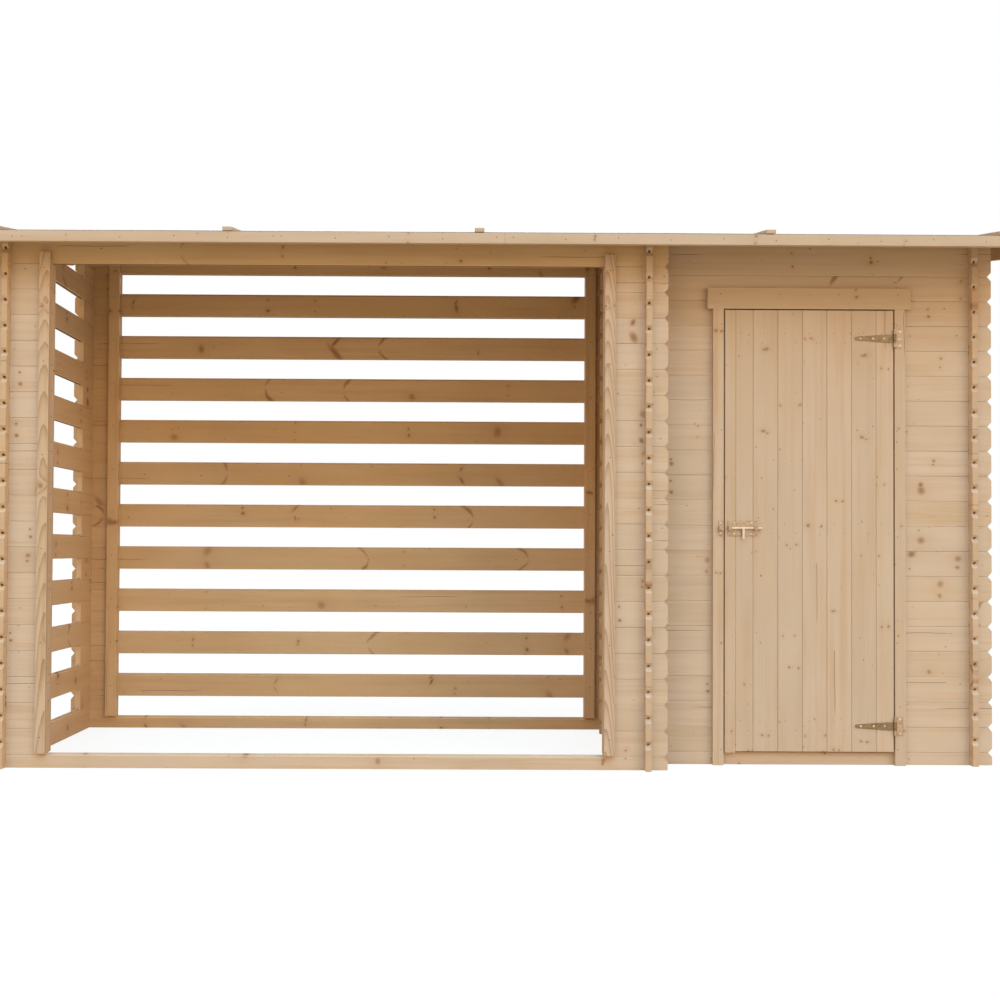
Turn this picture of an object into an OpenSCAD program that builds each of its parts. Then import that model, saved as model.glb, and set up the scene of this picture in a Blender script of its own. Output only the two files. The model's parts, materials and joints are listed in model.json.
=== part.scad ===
// Log-built garden store: an open log bay with slatted walls beside a closed tool shed,
// both under one single-pitch roof. Millimetres; X right, Y to the back, Z up.
// The origin is on the ground under the middle of the roof.

/* [Logs] */
// Cover height of one wall log
log_h = 95; // [80:1:120]
// Thickness of the wall logs
log_t = 22; // [18:1:30]
// Bevel along the long edges of a log
log_bevel = 1.5; // [1:0.5:5]
// How far a front or back log runs past the centre of the wall it crosses
log_end = 75; // [60:1:120]
// How far a side-wall log runs past the centre of the wall it crosses
side_end = 41; // [34:1:90]
// Length of the cut corners on a log end
end_cut_x = 14; // [6:1:20]
// Height of the cut corners on a log end
end_cut_z = 16; // [6:1:20]
// Height of the tongue on a log's top edge
tongue_h = 7; // [4:0.5:10]
// Thickness of the tongue
tongue_t = 7; // [5:0.5:9]

/* [Plan] */
// Width of the log bay between wall centres
store_w = 2360; // [1800:10:3000]
// Width of the tool shed between wall centres
shed_w = 1250; // [1150:10:1600]
// Depth of the log bay between wall centres
depth = 900; // [760:10:1200]
// How far the shed's front and back walls stand inside the log bay's
setback = 120; // [100:1:160]

/* [Height] */
// Whole logs in the front wall above its half log
front_rows = 20; // [19:1:23]
// Extra rows of logs in the back wall, which give the roof its fall
rise_rows = 2; // [1:1:3]

/* [Log bay] */
// Front pier width from the wall's centre to the opening
pier_w = 161; // [120:1:300]
// Back pier width from the wall's centre to the slatted part
back_pier_w = 132; // [115:1:300]
// Width of the jamb boards beside the open front
jamb_w = 38; // [30:1:70]
// Width of the posts inside the slatted back
post_w = 47; // [35:1:80]
// Inner length of the left wall's corner blocks, from the centre of the wall they cross
block_w = 138; // [90:1:200]
// Thickness of jambs, posts and door trims
trim_t = 20; // [14:1:28]
// Overlap of the jambs on the lintel
jamb_lap = 40; // [20:1:60]

/* [Door] */
// Width of the door leaf
door_w = 637; // [560:1:700]
// Top of the door leaf above the ground
door_top = 1717; // [1640:1:1735]
// Distance from the dividing wall's centre to the door's centre
door_x = 627; // [560:1:680]
// Thickness of the door boards
door_t = 16; // [12:1:20]
// Cover width of a door board
door_board = 93; // [70:1:120]
// Width of the stile on the closing edge
stile_w = 40; // [30:1:60]
// Gap around the door leaf
door_gap = 5; // [5:0.5:8]
// Width of the boards beside the door
door_trim_w = 40; // [30:1:60]
// Height of the board over the door
head_h = 79; // [60:1:100]
// Overhang of the head board past the side boards
head_over = 22; // [0:1:40]
// How far the leaf laps the doorway's log ends on each side
door_lap = 18; // [10:1:30]
// Width of the ledges and brace on the back of the door
ledge_w = 90; // [60:1:120]
// Thickness of the ledges and brace
ledge_t = 18; // [12:1:22]

/* [Hinges] */
// Length of a hinge strap
strap_l = 150; // [110:1:200]
// Width of a hinge strap at its root
strap_w = 30; // [22:1:40]
// Width of a hinge strap at its tip
strap_tip = 13; // [8:1:20]
// Thickness of straps and plates
plate_t = 2.5; // [2:0.5:4]
// Width of the hinge plate on the frame
hplate_w = 26; // [20:1:34]
// Height of the hinge plate on the frame
hplate_h = 70; // [50:1:100]
// Radius of the hinge knuckle
knuckle_r = 5; // [4:0.5:7]
// Radius of the hinge pin
pin_r = 2.5; // [2:0.1:3]
// Height of the upper hinge
hinge_top = 1611; // [1400:1:1640]
// Height of the lower hinge
hinge_low = 149; // [120:1:300]

/* [Bolt] */
// Height of the bolt above the ground
bolt_z = 891; // [800:1:1000]
// Radius of the bolt
bolt_r = 4.5; // [3:0.5:6]
// Length of the bolt
bolt_l = 126; // [110:1:150]
// Length of the bolt's base plate
bplate_l = 112; // [100:1:130]
// Height of the bolt's base plate
bplate_h = 56; // [40:1:70]
// Travel of the bolt
bolt_travel = 30; // [24:1:34]
// Width of a guide over the bolt
guide_w = 14; // [10:1:20]
// Wall of a guide
guide_t = 2.5; // [2:0.5:4]
// Width of the keeper on the frame
keeper_w = 18; // [14:1:22]
// Length of the bolt's handle below the bolt
handle_l = 40; // [30:1:60]

/* [Roof] */
// Overhang of the roof past the front and back wall centres
over_y = 150; // [110:1:220]
// Overhang of the roof past the side wall centres
over_x = 150; // [110:1:220]
// Thickness of the roof boards
deck_t = 18; // [14:1:22]
// Thickness of the roofing felt
felt_t = 3; // [2:0.5:5]
// Height of the front and back fascia boards
fascia_h = 38; // [36:1:70]
// Place of the joint between the two front fascia boards, from the middle
fascia_joint = 20; // [-300:10:300]
// Thickness of fascia and verge boards
fascia_t = 18; // [12:1:24]
// Height of the verge boards along the sides
verge_h = 66; // [45:1:90]
// Width of the battens on the felt
batten_w = 34; // [25:1:50]
// Thickness of the battens on the felt
batten_t = 14; // [10:1:20]
// Distance of the inner battens from the middle
batten_x = 970; // [700:10:1200]
// Offset of the middle batten
batten_mid = -70; // [-150:1:150]

/* [Hidden] */
// Fit between notched logs and between logs in a stack
fit = 0.3;
// Running clearance of a pin in its knuckle
pin_fit = 0.08;
// Axial gap between knuckles
knuckle_gap = 0.5;
// Running clearance of the bolt in its guides
bolt_fit = 0.5;
// Least height at the start of a tapered gable log
taper_min = 26;
// Least length of a tapered gable log
taper_len = 120;
// Least distance from a crossing wall to the start of a gable log
taper_room = 15;
// Overshoot of cutting tools
cut = 1;
// Size of the tool that trims the walls under the roof
trim_big = 8000;
round_fn = 48;

half_h = log_h / 2;
notch_h = log_h / 4;
notch_w = log_t + 2 * fit;
body_h = log_h - fit;
slope = rise_rows * log_h / depth;
pitch = atan(slope);
wall_top = half_h + front_rows * log_h;
row_min = log_h / 3;

x_left = -(store_w + shed_w) / 2;
x_div = x_left + store_w;
x_right = x_div + shed_w;
y_front = -depth / 2;
y_back = depth / 2;
y_sfront = y_front + setback;
y_sback = y_back - setback;
roof_x = x_right + over_x;
roof_y = y_back + over_y;

// Underside of the roof boards at a depth, and the depth where it has a height
function roof_z(y) = wall_top + (y - y_front) * slope;
function roof_at(z) = y_front + (z - wall_top) / slope;

// Front and back walls: a half log, then whole logs half a row above the side walls' logs
function cross_z(m) = half_h + m * log_h;
function cross_last(y) = floor((roof_z(y) - half_h - row_min) / log_h);

// Side walls: the start of row n, moved past a crossing wall that stands in the way
function clear_of(y, ys, i) =
    i == len(ys) ? y
    : abs(y - ys[i]) < log_t / 2 + taper_room ? ys[i] + log_t / 2 + fit
    : clear_of(y, ys, i + 1);
function side_from(n, y0, ys) = max(y0, clear_of(roof_at(n * log_h + taper_min), ys, 0));
function side_has(n, y0, y1, ys) =
    y1 - side_from(n, y0, ys) > taper_len && roof_z(y1) - n * log_h > taper_min;
function side_covers(n, y, y0, y1, ys) =
    side_has(n, y0, y1, ys) && side_from(n, y0, ys) < y - log_t / 2;
side_most = front_rows + rise_rows + 2;

side_y = y_back + side_end;
shed_side_y = y_sback + side_end;
left_ys = [y_front, y_back];
div_ys = [y_front, y_sfront, y_sback, y_back];
right_ys = [y_sfront, y_sback];

door_cx = x_div + door_x;
door_x0 = door_cx - door_w / 2;
door_x1 = door_cx + door_w / 2;
door_z0 = half_h + door_gap;
way_x0 = door_x0 + door_lap;
way_x1 = door_x1 - door_lap;
way_rows = ceil((door_top - half_h) / log_h);
shed_face = y_sfront - log_t / 2;
trim_face = shed_face - trim_t;
leaf_y0 = trim_face;
leaf_y1 = leaf_y0 + door_t;
frame_x0 = door_x0 - door_gap;
frame_x1 = door_x1 + door_gap;
axis_x = door_x1 + door_gap / 2;
axis_y = trim_face - knuckle_r;
head_z = door_top + door_gap;

bolt_y = leaf_y0 - plate_t - bolt_r - bolt_fit;
bolt_x0 = door_x0 + 10;
guide_h = 2 * (bolt_r + bolt_fit + guide_t);
guide_y = bolt_y - bolt_r - bolt_fit - guide_t;

deck_x = roof_x - fascia_t;
deck_y = roof_y - fascia_t;
felt_rise = deck_t + felt_t;
fascia_top = roof_z(-roof_y) + (felt_rise - felt_t) / cos(pitch);

wood = [0.80, 0.64, 0.44];
wood_dark = [0.72, 0.55, 0.36];
steel = [0.62, 0.63, 0.64];
felt = [0.27, 0.28, 0.29];

// Cross-section of a log: bevelled edges, a tongue on top and a groove below
module log_profile(h, tongue, groove) {
    t = log_t / 2;
    b = log_bevel;
    tt = tongue_t / 2;
    gt = tt + fit;
    gh = tongue_h + 2 * fit;
    polygon(concat(
        [[-t, b], [-t, h - b], [-t + b, h]],
        tongue ? [[-tt, h], [-tt, h + tongue_h], [tt, h + tongue_h], [tt, h]] : [],
        [[t - b, h], [t, h - b], [t, b], [t - b, 0]],
        groove ? [[gt, 0], [gt, gh], [-gt, gh], [-gt, 0]] : [],
        [[-t + b, 0]]
    ));
}

// Side view of a log: cut end corners, square at the foot, and notches where other walls cross it
function notch_low(ps) = [
    for (p = ps, c = [[-1, 0], [-1, 1], [1, 1], [1, 0]])
    [p + c[0] * notch_w / 2, c[1] * (notch_h + fit / 2)]
];
function notch_top(ps, h, top) = [
    for (i = [len(ps) - 1:-1:0], c = [[1, 0], [1, 1], [-1, 1], [-1, 0]])
    [ps[i] + c[0] * notch_w / 2, c[1] == 0 ? top : h]
];
function log_outline(l, h, top, end0, end1, lows, tops, top_z, groove) = concat(
    end0 && groove ? [[0, end_cut_z], [end_cut_x, 0]] : [[0, 0]],
    notch_low(lows),
    end1 && groove ? [[l - end_cut_x, 0], [l, end_cut_z]] : [[l, 0]],
    end1 ? [[l, h - end_cut_z], [l - end_cut_x, h], [l - end_cut_x, top]] : [[l, top]],
    notch_top(tops, top_z, top),
    end0 ? [[end_cut_x, top], [end_cut_x, h], [0, h - end_cut_z]] : [[0, top]]
);

// One log along +X from its start; lows and tops are the crossings on each edge
module log_piece(l, h, end0, end1, lows, tops, top_z, tongue, groove) {
    top = h + (tongue ? tongue_h : 0);
    intersection() {
        rotate([90, 0, 90])
            linear_extrude(height = l)
                log_profile(h, tongue, groove);
        rotate([90, 0, 0])
            linear_extrude(height = 2 * log_t, center = true)
                polygon(log_outline(l, h, top, end0, end1, lows, tops, top_z, groove));
    }
}

// Everything above the underside of the roof boards
module over_roof() {
    translate([0, y_front, wall_top - fit])
        rotate([pitch, 0, 0])
            translate([-trim_big / 2, -trim_big / 2, 0])
                cube([trim_big, trim_big, trim_big / 8]);
}

// The half log at the foot of a front or back wall
module foot_log(x0, x1, y, xs) {
    translate([x0, y, 0])
        log_piece(x1 - x0, half_h - fit, true, true, [], [for (x = xs) x - x0],
            notch_h - fit / 2, true, false);
}

// A row of a front or back wall; tops lists the walls whose next log lies over it
module cross_log(m, y, x0, x1, end0, end1, xs, tops) {
    last = m == cross_last(y);
    h = last ? max(body_h, roof_z(y + log_t) - cross_z(m)) : body_h;
    difference() {
        translate([x0, y, cross_z(m)])
            log_piece(x1 - x0, h, end0, end1, [for (x = xs) x - x0], [for (x = tops) x - x0],
                3 * notch_h - fit / 2, !last, true);
        if (last) {
            over_roof();
        }
    }
}

// A row of a side wall from its start to y1, trimmed under the roof where it tapers
module side_log(n, x, y0, y1, ys, full, tongue) {
    s = side_from(n, y0, ys);
    inside = [for (y = ys) if (y - log_t / 2 > s && y + log_t / 2 < y1) y];
    lows = [for (y = inside) if (n > 0 || y != undef) y - s];
    tops = [for (y = inside) if (n <= cross_last(y)) y - s];
    more = side_has(n + 1, y0, y1, ys);
    crest = max(s, roof_at((n + 1) * log_h));
    crest_end = more ? side_from(n + 1, y0, ys) : y1;
    humped = full && crest_end - crest > cut;
    tapers = roof_z(s) < (n + 1) * log_h + tongue_h;
    difference() {
        translate([x, s, n * log_h])
            rotate([0, 0, 90])
                log_piece(y1 - s, body_h, s == y0, true, lows, tops, 3 * notch_h - fit / 2,
                    tongue && !tapers, n > 0);
        if (tapers) {
            over_roof();
        }
    }
    if (humped) {
        side_crest(n, x, crest, crest_end, inside);
    }
}

// The part of a gable log that rises past its row to meet the roof
module side_crest(n, x, ya, yb, ys) {
    t = log_t / 2 - log_bevel;
    difference() {
        translate([x - t, ya, n * log_h + 3 * notch_h])
            cube([2 * t, yb - ya, log_h]);
        over_roof();
        for (y = ys)
            translate([x - log_t, y - notch_w / 2, 0])
                cube([2 * log_t, notch_w, 2 * wall_top]);
    }
}

module side_wall(x, y1, ys) {
    for (n = [0:side_most])
        if (side_has(n, -y1, y1, ys))
            side_log(n, x, -y1, y1, ys, true, true);
}

// Walls that the next side log lies over, out of those at positions xs
function over_list(m, y, ws) = [
    for (w = ws) if (side_covers(m + 1, y, -w[1], w[1], w[2])) w[0]
];
store_walls = [[x_left, side_y, left_ys], [x_div, side_y, div_ys]];
shed_walls = [[x_div, side_y, div_ys], [x_right, shed_side_y, right_ys]];

module front_sill() {
    color(wood)
        foot_log(x_left - log_end, x_div + log_end, y_front, [x_left, x_div]);
}

module front_left_pier() {
    color(wood)
        for (m = [0:cross_last(y_front) - 1])
            cross_log(m, y_front, x_left - log_end, x_left + pier_w, true, false, [x_left], [x_left]);
}

module front_right_pier() {
    color(wood)
        for (m = [0:cross_last(y_front) - 1])
            cross_log(m, y_front, x_div - pier_w, x_div + log_end, false, true, [x_div], [x_div]);
}

module front_lintel() {
    m = cross_last(y_front);
    color(wood)
        cross_log(m, y_front, x_left - log_end, x_div + log_end, true, true, [x_left, x_div],
            over_list(m, y_front, store_walls));
}

// Boards on both faces of a pier's free end
module jamb_pair(x0, w, y, z0, z1) {
    for (f = [-log_t / 2 - trim_t, log_t / 2])
        translate([x0, y + f, z0])
            cube([w, trim_t, z1 - z0]);
}

jamb_top = cross_z(cross_last(y_front)) + jamb_lap;
jamb_foot = half_h + tongue_h;

module left_jamb() {
    color(wood_dark)
        jamb_pair(x_left + pier_w - jamb_w, jamb_w, y_front, jamb_foot, jamb_top);
}

module right_jamb() {
    color(wood_dark)
        jamb_pair(x_div - pier_w, jamb_w, y_front, jamb_foot, jamb_top);
}

module left_wall_slats() {
    color(wood)
        for (n = [0:2:side_most])
            if (side_has(n, -side_y, side_y, left_ys))
                side_log(n, x_left, -side_y, side_y, left_ys, false, true);
}

// Short logs that fill the corners between the slats
module corner_block(n, y) {
    at = y < 0 ? side_end : block_w;
    difference() {
        translate([x_left, y - (y < 0 ? side_end : block_w), n * log_h])
            rotate([0, 0, 90])
                log_piece(side_end + block_w, body_h, y < 0, y > 0, [at], [at],
                    3 * notch_h - fit / 2, true, true);
    }
}

module left_wall_blocks() {
    color(wood)
        for (y = left_ys, n = [1:2:side_most])
            if (roof_z(y - (y < 0 ? side_end : block_w)) > (n + 1) * log_h + tongue_h)
                corner_block(n, y);
}

module dividing_wall() {
    color(wood)
        side_wall(x_div, side_y, div_ys);
}

module right_wall() {
    color(wood)
        side_wall(x_right, shed_side_y, right_ys);
}

module back_rail() {
    color(wood)
        foot_log(x_left - log_end, x_div + log_end, y_back, [x_left, x_div]);
}

module back_slats() {
    color(wood)
        for (m = [1:2:cross_last(y_back)])
            cross_log(m, y_back, x_left - log_end, x_div + log_end, true, true, [x_left, x_div],
                over_list(m, y_back, store_walls));
}

module back_left_pier() {
    color(wood)
        for (m = [0:2:cross_last(y_back)])
            cross_log(m, y_back, x_left - log_end, x_left + back_pier_w, true, false, [x_left],
                [x_left]);
}

module back_right_pier() {
    color(wood)
        for (m = [0:2:cross_last(y_back)])
            cross_log(m, y_back, x_div - back_pier_w, x_div + log_end, false, true, [x_div], [x_div]);
}

// A post inside the slatted back, standing on the rail's line
module back_post(x0) {
    y0 = y_back - log_t / 2 - trim_t;
    translate([x0, y0, jamb_foot])
        cube([post_w, trim_t, roof_z(y0) - fit - jamb_foot]);
}

module back_left_post() {
    color(wood_dark)
        back_post(x_left + back_pier_w - post_w);
}

module back_right_post() {
    color(wood_dark)
        back_post(x_div - back_pier_w);
}

module shed_back_wall() {
    color(wood)
        foot_log(x_div - log_end, x_right + log_end, y_sback, [x_div, x_right]);
    color(wood)
        for (m = [0:cross_last(y_sback)])
            cross_log(m, y_sback, x_div - log_end, x_right + log_end, true, true, [x_div, x_right],
                over_list(m, y_sback, shed_walls));
}

module shed_front_sill() {
    color(wood)
        foot_log(x_div - log_end, x_right + log_end, y_sfront, [x_div, x_right]);
}

module shed_front_left() {
    color(wood)
        for (m = [0:way_rows - 1])
            cross_log(m, y_sfront, x_div - log_end, way_x0, true, false, [x_div], [x_div]);
}

module shed_front_right() {
    color(wood)
        for (m = [0:way_rows - 1])
            cross_log(m, y_sfront, way_x1, x_right + log_end, false, true, [x_right], [x_right]);
}

module shed_front_top() {
    color(wood)
        for (m = [way_rows:cross_last(y_sfront)])
            cross_log(m, y_sfront, x_div - log_end, x_right + log_end, true, true, [x_div, x_right],
                over_list(m, y_sfront, shed_walls));
}

// Outside board beside the door, and a board inside on the doorway's log ends
module door_trim(x_out, x_in) {
    translate([x_out, trim_face, 0])
        cube([door_trim_w, trim_t, head_z]);
    translate([x_in, y_sfront + log_t / 2, jamb_foot])
        cube([door_trim_w, trim_t, head_z - jamb_foot]);
}

module door_trim_left() {
    color(wood_dark)
        door_trim(frame_x0 - door_trim_w, way_x0 - door_trim_w);
}

module door_trim_right() {
    color(wood_dark)
        door_trim(frame_x1, way_x1);
}

module door_head() {
    w = frame_x1 - frame_x0 + 2 * door_trim_w + 2 * head_over;
    color(wood_dark)
        translate([door_cx - w / 2, trim_face, head_z])
            cube([w, trim_t, head_h]);
}

// A sheet that lies along the roof, cut plumb at front and back
module roof_sheet(x0, x1, y0, y1, low, thick) {
    a = low / cos(pitch);
    b = (low + thick) / cos(pitch);
    translate([x0, 0, 0])
        rotate([90, 0, 90])
            linear_extrude(height = x1 - x0)
                polygon([
                    [y0, roof_z(y0) + a], [y1, roof_z(y1) + a],
                    [y1, roof_z(y1) + b], [y0, roof_z(y0) + b]
                ]);
}

module roof_deck() {
    color(wood)
        roof_sheet(-deck_x, deck_x, -deck_y, deck_y, 0, deck_t);
}

module roof_felt() {
    color(felt)
        roof_sheet(-roof_x, roof_x, -deck_y, deck_y, deck_t, felt_t);
}

module roof_battens() {
    xs = [x_left, -batten_x, batten_mid, batten_x, x_right];
    color(wood_dark)
        for (x = xs)
            roof_sheet(x - batten_w / 2, x + batten_w / 2, -roof_y, roof_y, felt_rise, batten_t);
}

module fascia_board(x0, x1, y0, top) {
    translate([x0, y0, top - fascia_h])
        cube([x1 - x0, fascia_t, fascia_h]);
}

module fascia_left() {
    color(wood_dark)
        fascia_board(-roof_x, fascia_joint - fit / 2, -roof_y, fascia_top);
}

module fascia_right() {
    color(wood_dark)
        fascia_board(fascia_joint + fit / 2, roof_x, -roof_y, fascia_top);
}

module back_fascia() {
    color(wood_dark)
        fascia_board(-roof_x, roof_x, deck_y, roof_z(deck_y) + deck_t / cos(pitch));
}

module left_verge() {
    color(wood_dark)
        roof_sheet(-roof_x, -deck_x, -deck_y, deck_y, deck_t - verge_h, verge_h);
}

module right_verge() {
    color(wood_dark)
        roof_sheet(deck_x, roof_x, -deck_y, deck_y, deck_t - verge_h, verge_h);
}

// The frame's half of a hinge: plate, two knuckles and the pin
module hinge_plate(z) {
    reach = strap_w / 2 + knuckle_gap;
    color(steel)
        translate([axis_x, 0, z]) {
            translate([0, axis_y, -hplate_h / 2])
                cylinder(r = pin_r, h = hplate_h, $fn = round_fn);
            for (s = [0, 1])
                mirror([0, 0, s]) {
                    translate([0, axis_y, reach])
                        cylinder(r = knuckle_r, h = hplate_h / 2 - reach, $fn = round_fn);
                    translate([0, trim_face - plate_t, reach])
                        cube([knuckle_r + hplate_w, plate_t, hplate_h / 2 - reach]);
                }
            translate([knuckle_r + plate_t, trim_face - plate_t, -hplate_h / 2])
                cube([hplate_w - plate_t, plate_t, hplate_h]);
        }
}

module upper_hinge_plate() {
    hinge_plate(hinge_top);
}

module lower_hinge_plate() {
    hinge_plate(hinge_low);
}

// The door's half of a hinge: a tapered strap with one bored knuckle
module hinge_strap(z) {
    w = strap_w / 2;
    tip = strap_tip / 2;
    color(steel)
        translate([axis_x, 0, z])
            difference() {
                union() {
                    translate([0, axis_y, -w])
                        cylinder(r = knuckle_r, h = strap_w, $fn = round_fn);
                    translate([0, trim_face, 0])
                        rotate([90, 0, 0])
                            linear_extrude(height = plate_t)
                                polygon([
                                    [0, -w], [0, w], [-strap_w, w], [-strap_l + tip, tip],
                                    [-strap_l, tip / 2], [-strap_l, -tip / 2],
                                    [-strap_l + tip, -tip], [-strap_w, -w]
                                ]);
                }
                translate([0, axis_y, -w - cut])
                    cylinder(r = pin_r + pin_fit, h = strap_w + 2 * cut, $fn = round_fn);
            }
}

module upper_hinge_strap() {
    hinge_strap(hinge_top);
}

module lower_hinge_strap() {
    hinge_strap(hinge_low);
}

// Door boards: whole boards in the middle and two equal ripped boards at the sides
leaf_x0 = door_x0 + stile_w;
leaf_span = door_x1 - leaf_x0;
whole_boards = floor((leaf_span - door_board / 2) / door_board);
side_board = (leaf_span - whole_boards * door_board) / 2;
board_bevel = 2;

module door_plank(x0, w, z0) {
    b = board_bevel;
    translate([x0 + fit / 2, leaf_y0, z0])
        linear_extrude(height = door_top - z0)
            polygon([
                [b, 0], [w - fit - b, 0], [w - fit, b], [w - fit, door_t], [0, door_t], [0, b]
            ]);
}

module door_boards() {
    color(wood) {
        door_plank(leaf_x0, side_board, door_z0);
        for (i = [0:whole_boards - 1])
            door_plank(leaf_x0 + side_board + i * door_board, door_board, door_z0);
        door_plank(door_x1 - side_board, side_board, door_z0);
    }
}

module door_stile() {
    color(wood_dark)
        door_plank(door_x0, stile_w, door_z0 - door_gap);
}

// Ledges and a brace that rises from the hinge side, on the back of the door
ledge_in = door_lap + 2 * door_gap + log_bevel;
ledge_x0 = door_x0 + ledge_in;
ledge_x1 = door_x1 - ledge_in;
ledge_zs = [hinge_low, bolt_z, hinge_top];

module ledge(z) {
    translate([ledge_x0, leaf_y1, z - ledge_w / 2])
        cube([ledge_x1 - ledge_x0, ledge_t, ledge_w]);
}

module brace(za, zb) {
    z0 = za + ledge_w / 2 + fit;
    z1 = zb - ledge_w / 2 - fit;
    translate([0, leaf_y1 + ledge_t, 0])
        rotate([90, 0, 0])
            linear_extrude(height = ledge_t)
                polygon([
                    [ledge_x1, z0], [ledge_x1 - ledge_w, z0], [ledge_x0, z1], [ledge_x0 + ledge_w, z1]
                ]);
}

module door_ledges() {
    color(wood_dark) {
        for (z = ledge_zs)
            ledge(z);
        brace(hinge_low, bolt_z);
        brace(bolt_z, hinge_top);
    }
}

// A guide over the bolt: a bored block on the plate's face
module bolt_guide(x0, w, face) {
    translate([x0, guide_y, bolt_z - guide_h / 2])
        cube([w, face - guide_y, guide_h]);
}

module bolt_bore(x0, w) {
    translate([x0 - cut, bolt_y, bolt_z])
        rotate([0, 90, 0])
            cylinder(r = bolt_r + bolt_fit, h = w + 2 * cut, $fn = round_fn);
}

module bolt_plate() {
    color(steel)
        difference() {
            union() {
                translate([bolt_x0, leaf_y0 - plate_t, bolt_z - bplate_h / 2])
                    cube([bplate_l, plate_t, bplate_h]);
                bolt_guide(bolt_x0, guide_w, leaf_y0 - plate_t / 2);
                bolt_guide(bolt_x0 + bplate_l - guide_w, guide_w, leaf_y0 - plate_t / 2);
            }
            bolt_bore(bolt_x0, bplate_l);
        }
}

module bolt_keeper() {
    x0 = frame_x0 - keeper_w - plate_t;
    color(steel)
        difference() {
            union() {
                translate([x0, trim_face - plate_t, bolt_z - bplate_h / 2])
                    cube([keeper_w, plate_t, bplate_h]);
                bolt_guide(x0, keeper_w, trim_face - plate_t / 2);
            }
            bolt_bore(x0, keeper_w);
        }
}

// The bolt, drawn back, with its handle hanging between the guides
module door_bolt() {
    handle_x = bolt_x0 + guide_w + bolt_travel + 3 * bolt_r;
    color(steel) {
        translate([bolt_x0, bolt_y, bolt_z])
            rotate([0, 90, 0])
                cylinder(r = bolt_r, h = bolt_l, $fn = round_fn);
        translate([handle_x - bolt_r, bolt_y - bolt_r, bolt_z - handle_l])
            cube([2 * bolt_r, bolt_r, handle_l]);
    }
}

front_sill();
front_left_pier();
front_right_pier();
front_lintel();
left_jamb();
right_jamb();
left_wall_slats();
left_wall_blocks();
dividing_wall();
right_wall();
back_rail();
back_slats();
back_left_pier();
back_right_pier();
back_left_post();
back_right_post();
shed_back_wall();
shed_front_sill();
shed_front_left();
shed_front_right();
shed_front_top();
door_trim_left();
door_trim_right();
door_head();
roof_deck();
roof_felt();
roof_battens();
fascia_left();
fascia_right();
back_fascia();
left_verge();
right_verge();
upper_hinge_plate();
lower_hinge_plate();
bolt_keeper();
door_boards();
door_stile();
door_ledges();
upper_hinge_strap();
lower_hinge_strap();
bolt_plate();
door_bolt();
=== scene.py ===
"""Looks of the log store: bare planed softwood, zinc-plated fittings and roofing felt on the CAD frame."""

import json
import math
import random
from types import SimpleNamespace

import bmesh
import bpy
import numpy as np
from mathutils import Matrix, Vector


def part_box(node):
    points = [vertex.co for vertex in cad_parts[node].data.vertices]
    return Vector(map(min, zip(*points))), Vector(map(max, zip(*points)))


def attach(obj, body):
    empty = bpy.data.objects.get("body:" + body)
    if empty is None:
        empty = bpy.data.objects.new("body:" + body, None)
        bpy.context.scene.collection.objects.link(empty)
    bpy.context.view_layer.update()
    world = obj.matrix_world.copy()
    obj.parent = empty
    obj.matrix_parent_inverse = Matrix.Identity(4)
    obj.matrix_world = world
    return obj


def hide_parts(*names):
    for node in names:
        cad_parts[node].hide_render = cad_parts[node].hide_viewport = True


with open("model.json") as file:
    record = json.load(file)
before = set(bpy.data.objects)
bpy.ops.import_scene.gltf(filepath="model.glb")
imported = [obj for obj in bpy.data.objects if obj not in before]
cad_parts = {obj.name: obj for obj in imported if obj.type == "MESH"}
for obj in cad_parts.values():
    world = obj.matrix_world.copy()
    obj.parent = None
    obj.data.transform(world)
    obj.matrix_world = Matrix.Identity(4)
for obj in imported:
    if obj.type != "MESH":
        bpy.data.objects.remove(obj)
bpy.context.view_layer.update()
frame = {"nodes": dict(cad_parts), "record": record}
scene = bpy.context.scene
draw = random.Random(417)

# Sizes in metres, angles and directions

MM = 0.001
ROOF_RISE, WALL_DEPTH = 0.19, 0.9
SLAT_STEP = 0.19
DECK_T, FELT_T, BATTEN_T = 18 * MM, 3 * MM, 14 * MM
PLATE_T = 2.5 * MM
TONGUE_H, TONGUE_ROOM = 8.5 * MM, 4.6 * MM
LOG_EASE, BOARD_EASE, DOOR_EASE, METAL_EASE = 0.7 * MM, 1.2 * MM, 0.8 * MM, 0.4 * MM
CAD_MERGE, BOARD_MERGE = 0.02 * MM, 0.01 * MM
FLAT_ANGLE, EASE_ANGLE, SHARP_ANGLE = math.radians(0.4), math.radians(28), math.radians(32)

SLOPE = ROOF_RISE / WALL_DEPTH
PITCH = math.atan(SLOPE)
UP_SLOPE = Vector((0, math.cos(PITCH), math.sin(PITCH)))
OFF_ROOF = Vector((0, -math.sin(PITCH), math.cos(PITCH)))
TO_FRONT = Vector((0, -1, 0))
TO_BACK = Vector((0, 1, 0))

# CAD nodes that share a finish

LOGS = [
    "front_sill", "front_left_pier", "front_right_pier", "dividing_wall", "right_wall", "shed_front_sill",
    "shed_front_left", "shed_front_right", "shed_front_top",
]
SIDE_LOGS = ["left_wall_slats", "left_wall_blocks", "shed_back_wall"]
# Pieces in the bay's shade, the lintel too; they take the wood with the painted warm shade.
SLATS = ["back_slats", "back_rail", "back_left_pier", "back_right_pier", "front_lintel"]
JAMBS = ["left_jamb", "right_jamb"]
BACK_POSTS = ["back_left_post", "back_right_post"]
FASCIAS = ["fascia_left", "fascia_right"]
DOOR_TRIMS = ["door_trim_left", "door_trim_right"]
BOARDS = [*DOOR_TRIMS, "door_head", *FASCIAS, "back_fascia"]
LEANING = ["left_verge", "right_verge", "roof_battens", "door_ledges"]
DOOR = ["door_boards", "door_stile"]
STRAPS = ["upper_hinge_strap", "lower_hinge_strap"]
HINGE_PLATES = ["upper_hinge_plate", "lower_hinge_plate"]
PLATES = [*HINGE_PLATES, "bolt_keeper", "bolt_plate"]

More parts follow.
